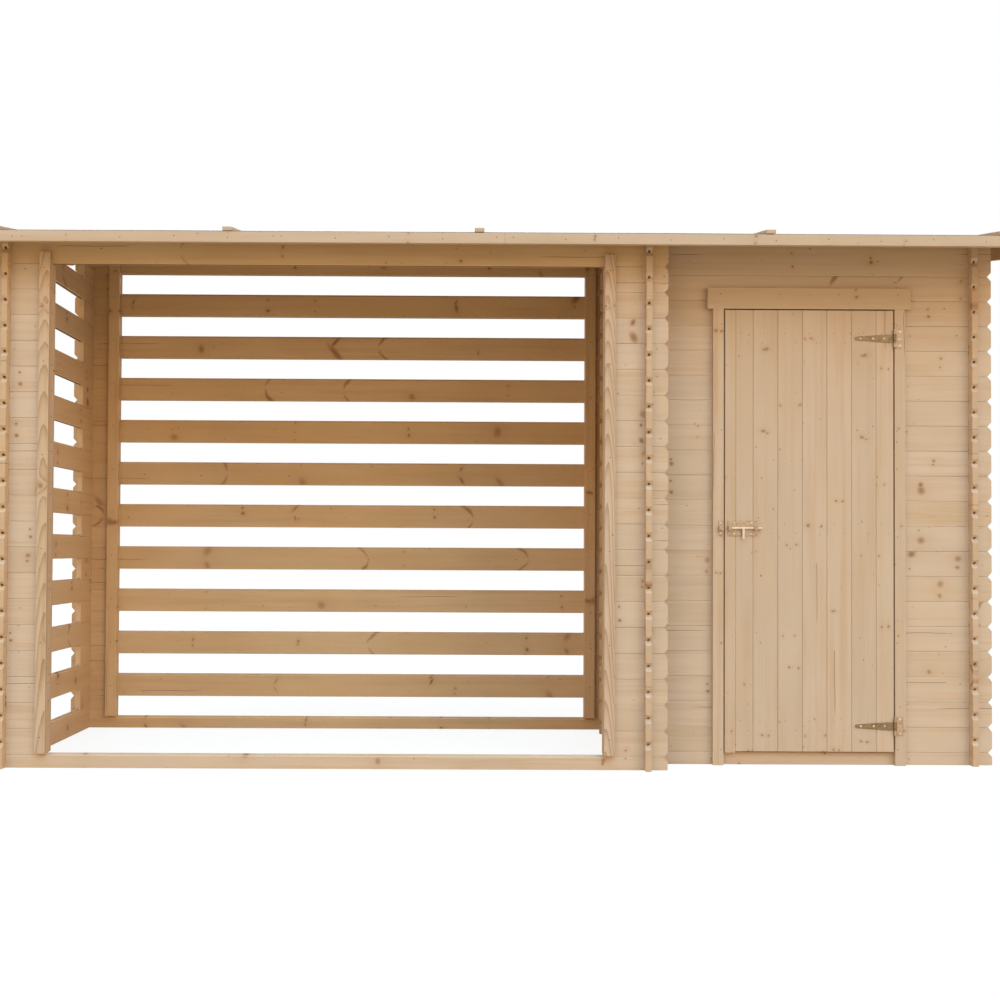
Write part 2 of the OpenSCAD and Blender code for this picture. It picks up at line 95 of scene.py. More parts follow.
BODY_OF = {node: body for body, nodes in frame["record"]["behaviour"]["bodies"].items() for node in nodes}


# Node trees

def pick(sockets, key):
    """A node's socket by place, identifier or name."""
    if isinstance(key, int):
        return sockets[key]
    for field in ("identifier", "name"):
        for socket in sockets:
            if getattr(socket, field) == key:
                return socket
    raise KeyError(key)


class Tap:
    """A value in a node tree. Arithmetic with it adds Math nodes."""

    def __init__(self, tree, socket):
        self.tree = tree
        self.socket = socket

    def __add__(self, other):
        return self.tree.math("ADD", self, other)

    def __radd__(self, other):
        return self.tree.math("ADD", other, self)

    def __sub__(self, other):
        return self.tree.math("SUBTRACT", self, other)

    def __rsub__(self, other):
        return self.tree.math("SUBTRACT", other, self)

    def __mul__(self, other):
        return self.tree.math("MULTIPLY", self, other)

    def __rmul__(self, other):
        return self.tree.math("MULTIPLY", other, self)

    def __truediv__(self, other):
        return self.tree.math("DIVIDE", self, other)

    def __pow__(self, other):
        return self.tree.math("POWER", self, other)


class Tree:
    """A node tree that is written as expressions."""

    def __init__(self, group):
        self.group = group

    def node(self, kind, settings=None, inputs=None, out=0):
        """Adds a node with its settings and its sockets' values or links, and gives the output or outputs."""
        made = self.group.nodes.new(kind)
        for key, value in (settings or {}).items():
            setattr(made, key, value)
        for key, value in (inputs or {}).items():
            socket = pick(made.inputs, key)
            for part in value if isinstance(value, list) else [value]:
                if isinstance(part, Tap):
                    self.group.links.new(part.socket, socket)
                else:
                    socket.default_value = part
        if isinstance(out, tuple):
            return [Tap(self, pick(made.outputs, key)) for key in out]
        return Tap(self, pick(made.outputs, out)) if len(made.outputs) else None

    def math(self, operation, *terms):
        return self.node("ShaderNodeMath", {"operation": operation}, dict(enumerate(terms)))

    def vector(self, x, y, z):
        return self.node("ShaderNodeCombineXYZ", {}, {"X": x, "Y": y, "Z": z})


class Finish(Tree):
    """The shader tree of a material or of the world."""

    def __init__(self, holder):
        holder.use_nodes = True
        super().__init__(holder.node_tree)
        self.group.nodes.clear()
        self.holder = holder

    def attribute(self, name, out="Fac"):
        return self.node("ShaderNodeAttribute", {"attribute_name": name}, {}, out)

    def split(self, vector):
        return self.node("ShaderNodeSeparateXYZ", {}, {"Vector": vector}, ("X", "Y", "Z"))

    def place(self):
        return self.node("ShaderNodeTexCoord", {}, {}, "Object")

    def noise(self, x, y, z, detail=2.0, roughness=0.5):
        sockets = {"Vector": self.vector(x, y, z), "Scale": 1.0, "Detail": detail, "Roughness": roughness}
        return self.node("ShaderNodeTexNoise", {}, sockets, "Fac")

    def even_noise(self, vector, scale, detail):
        x, y, z = self.split(vector)
        return self.noise(x * scale, y * scale, z * scale, detail)

    def ramp(self, value, start, end):
        """0 at start and 1 at end, with a soft change between them."""
        sockets = {"Value": value, "From Min": start, "From Max": end}
        return self.node("ShaderNodeMapRange", {"interpolation_type": "SMOOTHSTEP"}, sockets, "Result")

    def mix(self, share, low, high, blend="MIX"):
        sockets = {"Factor_Float": share, "A_Color": low, "B_Color": high}
        return self.node("ShaderNodeMix", {"data_type": "RGBA", "blend_type": blend}, sockets, "Result_Color")

    def toned(self, colour, tone):
        return self.mix(1.0, colour, self.vector(tone, tone, tone), "MULTIPLY")

    def bump(self, height, strength, distance):
        sockets = {"Strength": strength, "Distance": distance, "Height": height}
        return self.node("ShaderNodeBump", {}, sockets, "Normal")

    def shown(self):
        """1 on a ray from the camera, off a glossy surface or through a clear one, and otherwise 0."""
        rays = ("Is Camera Ray", "Is Glossy Ray", "Is Transmission Ray")
        camera, glossy, through = self.node("ShaderNodeLightPath", {}, {}, rays)
        return self.math("MINIMUM", camera + glossy + through, 1.0)

    def close(self, surface, output="ShaderNodeOutputMaterial"):
        """Ends the tree in a shader and gives the material or world."""
        self.node(output, {}, {"Surface": surface})
        return self.holder

    def close_plain(self, inputs):
        """Ends the tree in one surface shader."""
        return self.close(self.node("ShaderNodeBsdfPrincipled", {}, inputs, "BSDF"))


def shade(red, green, blue):
    """A display colour, 0 to 255, as the linear colour that a socket takes."""
    shares = [value / 255 for value in (red, green, blue)]
    linear = [share / 12.92 if share <= 0.04 else ((share + 0.055) / 1.055) ** 2.4 for share in shares]
    return (*linear, 1.0)


# Wood

class Softwood(Finish):
    """Planed spruce in a piece's own grain space: u along the piece, v across its face, w through it."""

    face_w = 88 * MM

    def __init__(self, name):
        super().__init__(bpy.data.materials.new(name))
        self.u, self.v, self.w = self.split(self.attribute("grain", "Vector"))
        self.piece = self.attribute("piece")
        self.second = self.reroll(self.piece, 7.31)
        self.third = self.reroll(self.piece, 23.7)
        self.wobble = self.noise(self.u * 170.0, self.v * 170.0, self.w * 60.0, 1.0) - 0.5

    def reroll(self, lot, turns):
        """A new lot, 0 to 1, that follows from another."""
        return self.math("FRACT", lot * turns)

    def whorl(self, gap, knot_share, fork_share):
        """The nearest place along the tree where branches grew, with the lots drawn for it."""
        start = self.piece * 31.0
        row = {"W": self.u / gap + start, "Scale": 1.0, "Randomness": 0.9}
        line = {"voronoi_dimensions": "1D"}
        place, lots = self.node("ShaderNodeTexVoronoi", line, row, ("W", "Color"))
        seat, size, kind = self.split(lots)
        there = self.math("LESS_THAN", kind, knot_share)
        forked = there * self.math("LESS_THAN", self.reroll(kind, 5.9), fork_share)
        lone = there - forked
        along = self.u - (place - start) * gap
        return SimpleNamespace(along=along, seat=seat, size=size, kind=kind, forked=forked, lone=lone)

    def round_knots(self, whorl, grow, spike_grow):
        """A whorl's two knots, drawn out the way they leaned: core, rim and the wood bent round them."""
        least, stagger, rough = 2.0 * MM, 10.0 * MM, 2.4 * MM
        draw_out = self.reroll(whorl.kind, 13.7) ** 2.0 * spike_grow
        seat = whorl.seat - 0.5
        stray = self.math("FRACT", whorl.seat * 3.3 + whorl.size) - 0.5
        paired = self.math("GREATER_THAN", self.reroll(whorl.size, 3.7), 0.5)
        nearest, cores = [], []
        for place, turn in ((seat, 0.0), (stray - (stray + seat) * paired, 0.23)):
            size = self.math("FRACT", whorl.size * 5.3 + turn)
            across = self.v - place * self.face_w
            shift = whorl.along - (size - 0.5) * stagger - place * across * (0.3 + draw_out)
            oval = shift * shift * 0.7 + (across / (1.0 + draw_out)) ** 2.0
            away = self.math("SQRT", oval) + self.wobble * rough
            branch = away / (least + size ** 2.0 * grow)
            nearest.append(branch)
            cores.append(self.ramp(branch, 1.25, 0.35) * (1.0 - size * 0.5))
        near = self.math("MINIMUM", *nearest)
        strength = whorl.lone * (0.45 + whorl.seat * 0.55)
        core = self.math("MAXIMUM", *cores) * strength
        rim = self.ramp(near, 2.1, 0.8) * strength
        halo = self.math("EXPONENT", near * near * -0.06) * whorl.lone
        return core, rim, halo

    def forked_knots(self, whorl):
        """Where the saw met the pith, two long knots that fork towards the edges: core and rim."""
        pith_play, thin, bend_by = 22.0 * MM, 1.6 * MM, 18.0 * MM
        fade, full = 20.0 * MM, 34.0 * MM
        off_pith = self.v - (whorl.size - 0.5) * pith_play
        reach = self.math("ABSOLUTE", off_pith)
        upper = self.math("GREATER_THAN", off_pith, 0.0)
        strong = self.math("FRACT", whorl.size * 7.9 + upper * 0.37)
        lean = (0.2 + self.reroll(whorl.seat, 9.1) * 0.4) * self.math("SIGN", self.second - 0.5)
        bend = self.noise(self.u * 30.0, self.v * 30.0, self.piece * 19.0, 1.0) - 0.5
        curve = reach * lean * (0.3 + reach / (self.face_w / 2))
        aside = self.math("ABSOLUTE", whorl.along + curve + bend * bend_by)
        near = aside / (thin + reach * (0.06 + strong * 0.1)) + self.wobble * 0.9
        outward = self.ramp(reach, (0.3 - strong) * fade, full) * whorl.forked * (0.3 + strong * 0.65)
        return self.ramp(near, 1.3, 0.4) * outward * 0.6, self.ramp(near, 2.6, 0.9) * outward

    def pin_knots(self, share):
        """Small knots that stand alone, one at most to a cell."""
        cell_u, cell_v = 0.13, 0.055
        core, rim, rim_grow, rough = 0.6 * MM, 1.8 * MM, 3.4 * MM, 1.2 * MM
        start = self.piece * 11.0
        cells = {"Vector": self.vector(self.u / cell_u, self.v / cell_v + start, 0.0), "Scale": 1.0}
        flat = {"voronoi_dimensions": "2D"}
        place, lots = self.node("ShaderNodeTexVoronoi", flat, cells, ("Position", "Color"))
        place_u, place_v, _ = self.split(place)
        size, there, _ = self.split(lots)
        off_u = self.u - place_u * cell_u
        off_v = self.v - (place_v - start) * cell_v
        away = self.math("SQRT", off_u * off_u * 0.5 + off_v * off_v) + self.wobble * rough
        pin = self.ramp(away, rim + size * rim_grow, core) * self.math("LESS_THAN", there, share)
        return pin * (0.3 + self.reroll(size, 7.7) * 0.55)

    def checks(self, whorl, share):
        """Cracks along the grain, near some of the whorls."""
        reach, ahead, spread_by, drift_by = 0.16, 0.05, 60.0 * MM, 9.0 * MM
        edge, core = 1.3 * MM, 0.4 * MM
        gape = self.math("MAXIMUM", 1.0 - self.math("ABSOLUTE", whorl.along - ahead) / reach, 0.0)
        drift = (self.noise(self.u * 9.0, self.piece * 41.0, 3.0, 2.0) - 0.5) * drift_by
        off = self.math("ABSOLUTE", self.v - (whorl.size - 0.5) * spread_by - drift)
        check = self.ramp(off, edge, core) * self.ramp(gape, 0.0, 0.4)
        return check * self.math("GREATER_THAN", whorl.kind, 1.0 - share)

    def late_wood(self, halo, ring_gap, taper, pith_aside):
        """The dark part of each growth ring, round a pith that sways behind the face."""
        sway_by, dip_by, deep, deeper = 0.06, 0.05, 0.03, 0.06
        swell, jitter_by = 8.0 * MM, 2.5 * MM
        sway = self.noise(self.u * 0.9, self.piece * 37.0, 0.0, 1.0) - 0.5
        dip = self.noise(self.u * 0.7, self.piece * 53.0, 9.0, 1.0) - 0.5
        from_v = self.v - (self.piece - 0.5) * pith_aside - sway * sway_by
        from_w = self.w + deep + self.second * deeper - dip * dip_by
        jitter = self.noise(self.u * 7.0, self.v * 55.0, self.w * 55.0, 2.0)
        radius = self.math("SQRT", from_v * from_v + from_w * from_w)
        ring = radius + halo * swell + jitter * jitter_by + self.u * taper
        return self.math("FRACT", ring / ring_gap) ** 3.0


def softwood(
    name, pale, warm, whorl_gap, knot_share, knot_grow, spike_grow, check_share,
    fork_share=0.0, pin_share=0.34, ring_gap=3.4 * MM, ring_show=0.1, ring_tone=(186, 146, 110),
    taper=0.004, pith_aside=0.15,
):
    """A planed softwood. Shares are of whorls or cells; gaps, growth and the pith's place are in metres."""
    knot_dark, knot_ring = shade(104, 66, 38), shade(160, 114, 76)
    ring_dark, end_tone = shade(*ring_tone), shade(204, 171, 140)
    # Painted light: a pale painted highlight for the arris faces of the V-joints, and a dark painted shade
    # for the groove hollows at the log ends.
    painted_arris_highlight, painted_groove_shade = shade(230, 205, 178), shade(118, 84, 56)

    wood = Softwood(name)
    u, v, w, piece = wood.u, wood.v, wood.w, wood.piece
    end, arris, groove_shade_mask = [wood.attribute(mark) for mark in ("end", "arris", "groove_shade")]
    whorl = wood.whorl(whorl_gap, knot_share, fork_share)
    knot, rim, halo = wood.round_knots(whorl, knot_grow, spike_grow)
    fork, fork_rim = wood.forked_knots(whorl)
    knot = wood.math("MAXIMUM", knot, fork)
    rim = wood.math("MAXIMUM", rim, fork_rim)
    pin = wood.pin_knots(pin_share)
    check = wood.checks(whorl, check_share)
    late = wood.late_wood(halo, ring_gap, taper, pith_aside)

    fibre = wood.noise(u * 26.0, v * 900.0, w * 900.0, 2.0)
    streak = wood.ramp(wood.noise(u * 1.3, v * 42.0 + piece * 90.0, w * 42.0, 3.0, 0.6), 0.42, 0.74)
    cloud = wood.ramp(wood.noise(u * 1.9, v * 8.0, piece * 17.0, 2.0), 0.34, 0.68)
    patch = wood.noise(u * 4.0, v * 14.0, piece * 29.0, 2.0)

    colour = wood.mix(cloud * 0.6 + wood.second * 0.4, shade(*pale), shade(*warm))
    for share, tone in (
        (streak * (0.1 + wood.third * 0.35), ring_dark),
        (late * (ring_show + streak * 0.25), ring_dark),
        (end * 0.5, end_tone),
        (end * late * 0.35, knot_ring),
        (halo * 0.28, ring_dark),
        (rim * 0.7, knot_ring),
        (wood.math("MAXIMUM", knot, pin) * 0.9, knot_dark),
        (check * 0.85, knot_dark),
        # painted highlight that lightens the shade in the V-joints between the logs
        (arris * wood.second * 0.6, painted_arris_highlight),
        # painted shade in the groove hollows at the log ends
        (groove_shade_mask, painted_groove_shade),
    ):
        colour = wood.mix(share, colour, tone)
    colour = wood.toned(colour, 0.95 + wood.third * 0.06 + (patch - 0.5) * 0.12 + (fibre - 0.5) * 0.1)

    rough = 0.62 + (fibre - 0.5) * 0.25 + end * 0.15 - knot * 0.15
    bump = wood.bump(fibre * 0.5 - late * 0.35 - check * 2.5 + knot * 0.4, strength=0.3, distance=0.6 * MM)
    return wood.close_plain({"Base Color": colour, "Roughness": rough, "Normal": bump, "IOR": 1.38})


LOG_WOOD = softwood(
    "planed_logs", pale=(208, 183, 162), warm=(203, 175, 148), whorl_gap=0.36, knot_share=0.76,
    knot_grow=8.0 * MM, spike_grow=0.7, check_share=0.1, fork_share=0.02,
)
# Partly painted shade: the same planed wood in a tone between the logs' and the bay wood's warm painted
# shade, for the bay's inner left wall and the shed's back wall.
HALF_SHADE_WOOD = softwood(
    "planed_side_logs", pale=(211, 182, 152), warm=(206, 173, 137), whorl_gap=0.42, knot_share=0.8,
    knot_grow=8.0 * MM, spike_grow=1.4, check_share=0.1, fork_share=0.08,
)
# Painted shade: the same planed wood in a warmer, deeper tone that paints the warm shade inside the bay into
# its colour.
BAY_SHADE_WOOD = softwood(
    "planed_slats", pale=(211, 178, 141), warm=(205, 168, 124), whorl_gap=0.44, knot_share=0.86,
    knot_grow=9.0 * MM, spike_grow=2.4, check_share=0.16, fork_share=0.22,
)
BOARD_WOOD = softwood(
    "planed_boards", pale=(203, 178, 157), warm=(199, 171, 144), whorl_gap=0.3, knot_share=0.66,
    knot_grow=2.6 * MM, spike_grow=1.0, check_share=0.04, pin_share=0.5,
)
JAMB_WOOD = softwood(
    "planed_posts", pale=(209, 182, 159), warm=(199, 167, 137), whorl_gap=0.34, knot_share=0.6,
    knot_grow=4.5 * MM, spike_grow=1.6, check_share=0.06, ring_gap=6.0 * MM, ring_show=0.75,
    ring_tone=(158, 118, 82), taper=0.05, pith_aside=0.03,
)


# Metal and felt

def zinc_plate(name, bright, tarnish):
    """Yellowish zinc plating with a faint spangle and dull handling marks."""
    zinc = Finish(bpy.data.materials.new(name))
    place = zinc.place()
    cloud = zinc.even_noise(place, scale=120.0, detail=3.0)
    grit = zinc.even_noise(place, scale=900.0, detail=2.0)
    spangle = zinc.node("ShaderNodeTexVoronoi", {}, {"Vector": place, "Scale": 260.0}, "Distance")
    colour = zinc.mix(zinc.ramp(cloud, 0.3, 0.8) * 0.7, shade(*bright), shade(*tarnish))
    rough = 0.42 + cloud * 0.2 + spangle * 0.12
    bump = zinc.bump(spangle * 0.3 + grit * 0.5, strength=0.2, distance=0.2 * MM)
    return zinc.close_plain({"Base Color": colour, "Roughness": rough, "Normal": bump, "Metallic": 1.0})


def nail_steel():
    """Dull wire-nail heads."""
    steel = Finish(bpy.data.materials.new("nail_steel"))
    cloud = steel.even_noise(steel.place(), scale=210.0, detail=2.0)
    colour = steel.mix(cloud, shade(62, 44, 30), shade(102, 76, 54))
    return steel.close_plain({"Base Color": colour, "Roughness": 0.4 + cloud * 0.2, "Metallic": 0.85})


def mineral_felt():
    """Roofing felt with pressed-in slate chips, some of them pale."""
    pale_from = 0.92
    felt = Finish(bpy.data.materials.new("mineral_felt"))
    place = felt.place()
    x, y, z = felt.split(place)
    cells = {"Vector": place, "Scale": 520.0}
    chips, edge = felt.node("ShaderNodeTexVoronoi", {}, cells, ("Color", "Distance"))
    chip, chip_tone, _ = felt.split(chips)
    cloud = felt.noise(x * 2.2, y * 5.0, z * 5.0, 4.0, 0.6)
    colour = felt.mix(chip_tone, shade(116, 101, 90), shade(166, 148, 134))
    colour = felt.mix(felt.math("GREATER_THAN", chip, pale_from) * 0.6, colour, shade(205, 188, 170))
    colour = felt.toned(colour, 0.8 + cloud * 0.35)
    bump = felt.bump(chip_tone * 0.6 - edge * 0.8, strength=0.6, distance=1.0 * MM)
    return felt.close_plain({"Base Color": colour, "Roughness": 0.86 + cloud * 0.1, "Normal": bump})


STRAP_ZINC = zinc_plate("strap_zinc", bright=(142, 116, 86), tarnish=(106, 84, 60))
PLATE_ZINC = zinc_plate("plate_zinc", bright=(178, 150, 120), tarnish=(142, 113, 88))
BOLT_ZINC = zinc_plate("bolt_zinc", bright=(212, 190, 164), tarnish=(172, 148, 122))
NAIL_STEEL = nail_steel()
FELT = mineral_felt()


# Pieces made from the CAD solids

def plain_mesh(holder, name):
    """The evaluated shape of an object as a mesh of its own; the holder goes."""
    bpy.context.view_layer.update()
    made = bpy.data.meshes.new_from_object(holder.evaluated_get(bpy.context.evaluated_depsgraph_get()))
    made.name = name
    bpy.data.objects.remove(holder)
    return made


def link(name, mesh, finish=None):
    """Puts a mesh into the scene, in a finish or in the one that it has."""
    piece = bpy.data.objects.new(name, mesh)
    scene.collection.objects.link(piece)
    if finish is not None:
        mesh.materials.clear()
        mesh.materials.append(finish)
    return piece


def belongs(piece, body, replaced=None):
    """Puts a piece on a body, and hides the CAD node that it stands for."""
    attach(piece, body)
    if replaced:
        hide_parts(replaced)


def merged(node):
    """A CAD node's triangles with their shared corners merged."""
    work = bmesh.new()
    work.from_mesh(frame["nodes"][node].data)
    bmesh.ops.remove_doubles(work, verts=work.verts, dist=CAD_MERGE)
    return work


def settled(work, name):
    """A worked shape as a mesh."""
    mesh = bpy.data.meshes.new(name)
    work.to_mesh(mesh)
    work.free()
    return mesh


def turn_outwards(mesh):
    """Turns a mesh's faces outwards, after its doubles are merged."""
    work = bmesh.new()
    work.from_mesh(mesh)
    bmesh.ops.remove_doubles(work, verts=work.verts, dist=BOARD_MERGE)
    bmesh.ops.recalc_face_normals(work, faces=work.faces)
    work.to_mesh(mesh)
    work.free()


def smooth(mesh):
    mesh.polygons.foreach_set("use_smooth", [True] * len(mesh.polygons))


def soften(mesh):
    """Smooth shading, with the sharp edges kept."""
    smooth(mesh)
    mesh.set_sharp_from_angle(angle=SHARP_ANGLE)


def eased_mesh(node, edge, steps):
    """A copy of a CAD solid with its flat faces made whole and its sharp edges eased."""
    work = merged(node)
    bmesh.ops.dissolve_limit(work, angle_limit=FLAT_ANGLE, verts=work.verts, edges=work.edges)
    mesh = settled(work, node + "_eased")
    smooth(mesh)
    holder = link(node + "_eased", mesh)
    ease = holder.modifiers.new("ease", "BEVEL")
    ease.width = edge
    ease.segments = steps
    ease.limit_method = "ANGLE"
    ease.angle_limit = EASE_ANGLE
    even = holder.modifiers.new("even", "WEIGHTED_NORMAL")
    even.mode = "FACE_AREA"
    even.weight = 50
    return plain_mesh(holder, node + "_mesh")


def islands(mesh):
    """The number of the loose part that each vertex belongs to."""
    parent = list(range(len(mesh.vertices)))

    def root(i):
        while parent[i] != i:
            parent[i] = parent[parent[i]]
            i = parent[i]
        return i

    for edge in mesh.edges:
        one, other = [root(i) for i in edge.vertices]
        if one != other:
            parent[other] = one
    roots = [root(i) for i in range(len(parent))]
    number = {first: n for n, first in enumerate(sorted(set(roots)))}
    return np.array([number[first] for first in roots])


def solid_boxes(node):
    """The lowest and highest corners of each solid of a CAD node, from left to right and from low to high."""
    mesh = settled(merged(node), node + "_merged")
    part = islands(mesh)
    places = np.array([corner.co[:] for corner in mesh.vertices])
    bpy.data.meshes.remove(mesh)
    solids = [places[part == n] for n in range(part.max() + 1)]
    boxes = [(Vector(solid.min(0)), Vector(solid.max(0))) for solid in solids]
    return sorted(boxes, key=lambda box: (round(box[0].x, 4), round(box[0].z, 4)))


def grain_axes(points, leaning):
    """Three directions of a piece: along its grain, across it and through it."""
    spans = points.max(0) - points.min(0)
    order = np.argsort(-spans)
    axes = np.eye(3)
    if not leaning:
        return axes[order]
    centred = points - points.mean(0)
    along = np.linalg.eigh(centred.T @ centred)[1][:, 2]
    through = axes[np.argmin(np.abs(along))]
    return np.array([along, np.cross(through, along), through])


def lay_grain(mesh, leaning=False, tongued=False):
    """Gives every loose part its own grain space and lot, and marks its sawn ends, the arris faces that get a
    painted highlight and the groove hollows that get painted shade.
    """
    first_u, last_u = 3, 60
    end_from, arris_along, arris_from, arris_to = 0.8, 0.3, 0.25, 0.97
    places = np.zeros(len(mesh.vertices) * 3, np.float32)
    mesh.vertices.foreach_get("co", places)
    places = places.reshape(-1, 3).astype(float)
    part = islands(mesh)
    grain = np.zeros((len(places), 3), np.float32)
    lot = np.zeros(len(places), np.float32)
    frames = {}
    for n in range(part.max() + 1):
        held = np.where(part == n)[0]
        points = places[held]
        axes = grain_axes(points, leaning)
        local = (points - (points.max(0) + points.min(0)) / 2) @ axes.T
        frames[n] = axes, local[:, 1].min(), local[:, 1].max()
        grain[held] = local
        grain[held, 0] += draw.uniform(first_u, last_u)
        lot[held] = draw.random()
    ends, painted_highlight_faces, painted_shade_faces = [], [], []
    for face in mesh.polygons:
        axes, low, high = frames[part[face.vertices[0]]]
        along, across, _ = np.abs(axes @ np.array(face.normal))
        corners = grain[list(face.vertices)]
        v = corners[:, 1].mean()
        narrow = tongued and np.abs(corners[:, 2]).max() < TONGUE_ROOM
        end = along > end_from
        ends.append(float(end))
        # arris faces of the V-joints, which get a painted highlight
        painted_highlight_faces.append(float(along < arris_along and arris_from < across < arris_to))
        # faces in the tongue-and-groove hollow at the ends, which get painted shade
        painted_shade_faces.append(float(narrow and (v > high - TONGUE_H if end else v < low + TONGUE_H)))
    mesh.attributes.new("grain", "FLOAT_VECTOR", "POINT").data.foreach_set("vector", grain.ravel())
    mesh.attributes.new("piece", "FLOAT", "POINT").data.foreach_set("value", lot)
    for name, values in (("end", ends), ("arris", painted_highlight_faces), ("groove_shade", painted_shade_faces)):
        mesh.attributes.new(name, "FLOAT", "FACE").data.foreach_set("value", values)


def dress_wood(nodes, ending, finish, edge, steps=2, leaning=False, tongued=False):
    """Wooden pieces in place of CAD nodes."""
    for node in nodes:
        mesh = eased_mesh(node, edge, steps)
        lay_grain(mesh, leaning, tongued)
        belongs(link(node + ending, mesh, finish), BODY_OF[node], node)


def dress_metal(nodes, finish):
    """Metal pieces in place of CAD nodes."""
    for node in nodes:
        mesh = eased_mesh(node, METAL_EASE, steps=2)
        belongs(link(node + "_zinc", mesh, finish), BODY_OF[node], node)


for nodes, wood in ((LOGS, LOG_WOOD), (SIDE_LOGS, HALF_SHADE_WOOD), (SLATS, BAY_SHADE_WOOD)):
    dress_wood(nodes, "_logs", wood, LOG_EASE, steps=1, tongued=True)
for nodes, wood in ((JAMBS, JAMB_WOOD), (BACK_POSTS, BAY_SHADE_WOOD), (BOARDS, BOARD_WOOD)):
    dress_wood(nodes, "_planed", wood, BOARD_EASE)
dress_wood(LEANING, "_planed", BOARD_WOOD, BOARD_EASE, leaning=True)
dress_wood(DOOR, "_planed", BOARD_WOOD, DOOR_EASE)
for nodes, zinc in ((STRAPS, STRAP_ZINC), (PLATES, PLATE_ZINC), (["door_bolt"], BOLT_ZINC)):
    dress_metal(nodes, zinc)


def closing_bead():
    """A thin lath with an eased arris on the left trim, in the gap that the door closes on."""
    wide, deep, sunk, let_in = 4.4 * MM, 11 * MM, 0.6 * MM, 0.2 * MM
    ease, ease_steps = 0.6 * MM, 3
    low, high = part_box("door_trim_left")
    leaf_low, leaf_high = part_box("door_boards")
    left, face = high.x - let_in, low.y + sunk
    turns = [math.pi / 2 * i / ease_steps for i in range(ease_steps + 1)]
    arris = [(left + wide - ease * (1 - math.sin(t)), face + ease * (1 - math.cos(t))) for t in turns]
    outline = [(left, face + deep), (left, face), *arris, (left + wide, face + deep)]
    count = len(outline)
    corners = [(x, y, z) for z in (leaf_low.z, leaf_high.z) for x, y in outline]
    sides = [(i, (i + 1) % count, count + (i + 1) % count, count + i) for i in range(count)]
    mesh = bpy.data.meshes.new("closing_bead")
    mesh.from_pydata(corners, [], [range(count), range(count, 2 * count), *sides])
    turn_outwards(mesh)
    lay_grain(mesh)
    soften(mesh)
    belongs(link("closing_bead", mesh, BOARD_WOOD), "building")


closing_bead()


# Nail and screw heads

class Recipe(Tree):
    """A geometry tree with named inputs."""

    def __init__(self, name, sizes):
        super().__init__(bpy.data.node_groups.new(name, "GeometryNodeTree"))
        face = self.group.interface
        for way in ("INPUT", "OUTPUT"):
            face.new_socket(name="Geometry", in_out=way, socket_type="NodeSocketGeometry")
        self.keys = {}
        for size, value in sizes.items():
            kind = "NodeSocketInt" if isinstance(value, int) else "NodeSocketFloat"
            socket = face.new_socket(name=size, in_out="INPUT", socket_type=kind)
            socket.default_value = value
            self.keys[size] = socket.identifier
        self.entry = self.group.nodes.new("NodeGroupInput")

    def given(self, name):
        return Tap(self, pick(self.entry.outputs, name))

    def close(self, geometry, finish):
        """Ends the tree in one real mesh in a finish."""
        whole = self.node("GeometryNodeRealizeInstances", {}, {"Geometry": geometry})
        dressed = self.node("GeometryNodeSetMaterial", {}, {"Geometry": whole, "Material": finish})
        self.node("NodeGroupOutput", {}, {0: dressed})

    def make(self, name, base, sizes):
        """The plain mesh that the tree gives on a base mesh."""
        holder = link(name + "_base", base)
        step = holder.modifiers.new("recipe", "NODES")
        step.node_group = self.group
        for size, value in sizes.items():
            step[self.keys[size]] = value
        return plain_mesh(holder, name)


def cross_recess(heads, wide, high):
    """The shape that is cut out of a screw head."""
    bar_l, bar_w = wide * 1.1, wide * 0.24
    bars = [
        heads.node("GeometryNodeMeshCube", {}, {"Size": heads.vector(a, b, high)}, "Mesh")
        for a, b in ((bar_l, bar_w), (bar_w, bar_l))
    ]
    cross = heads.node("GeometryNodeMeshBoolean", {"operation": "UNION"}, {"Mesh 2": bars}, "Mesh")
    lift = heads.vector(0.0, 0.0, high * 1.2)
    return heads.node("GeometryNodeTransform", {}, {"Geometry": cross, "Translation": lift})


def head_recipe(name, finish, recessed):
    """A fastener's head on each point, turned to its facing; a screw has a cross recess."""
    sides, top_share, seed = 14, 0.72, 5
    heads = Recipe(name, {"Head radius": 2.8 * MM, "Head height": 0.8 * MM, "Proud": 0.1 * MM})
    wide, high = heads.given("Head radius"), heads.given("Head height")
    cone = {"Vertices": sides, "Radius Top": wide * top_share, "Radius Bottom": wide, "Depth": high}
    head = heads.node("GeometryNodeMeshCone", {"fill_type": "NGON"}, cone, "Mesh")
    if recessed:
        cut = {"Mesh 1": head, "Mesh 2": cross_recess(heads, wide, high)}
        head = heads.node("GeometryNodeMeshBoolean", {"operation": "DIFFERENCE"}, cut, "Mesh")
    sink = heads.vector(0.0, 0.0, heads.given("Proud") - high)
    head = heads.node("GeometryNodeTransform", {}, {"Geometry": head, "Translation": sink})
    named = {"data_type": "FLOAT_VECTOR"}
    facing = heads.node("GeometryNodeInputNamedAttribute", named, {"Name": "facing"})
    turn = heads.node("FunctionNodeAlignRotationToVector", {"axis": "Z"}, {"Vector": facing})
    lots = {"Min_001": 0.0, "Max_001": math.pi, "Seed": seed}
    spin = heads.node("FunctionNodeRandomValue", {"data_type": "FLOAT"}, lots, "Value_001")
    spun = {"Rotation": turn, "Rotate By": heads.vector(0.0, 0.0, spin)}
    turn = heads.node("FunctionNodeRotateRotation", {"rotation_space": "LOCAL"}, spun)
    points = heads.node("GeometryNodeMeshToPoints", {}, {"Mesh": heads.given("Geometry")})
    laid = {"Points": points, "Instance": head, "Rotation": turn}
    heads.close(heads.node("GeometryNodeInstanceOnPoints", {}, laid, "Instances"), finish)
    return heads


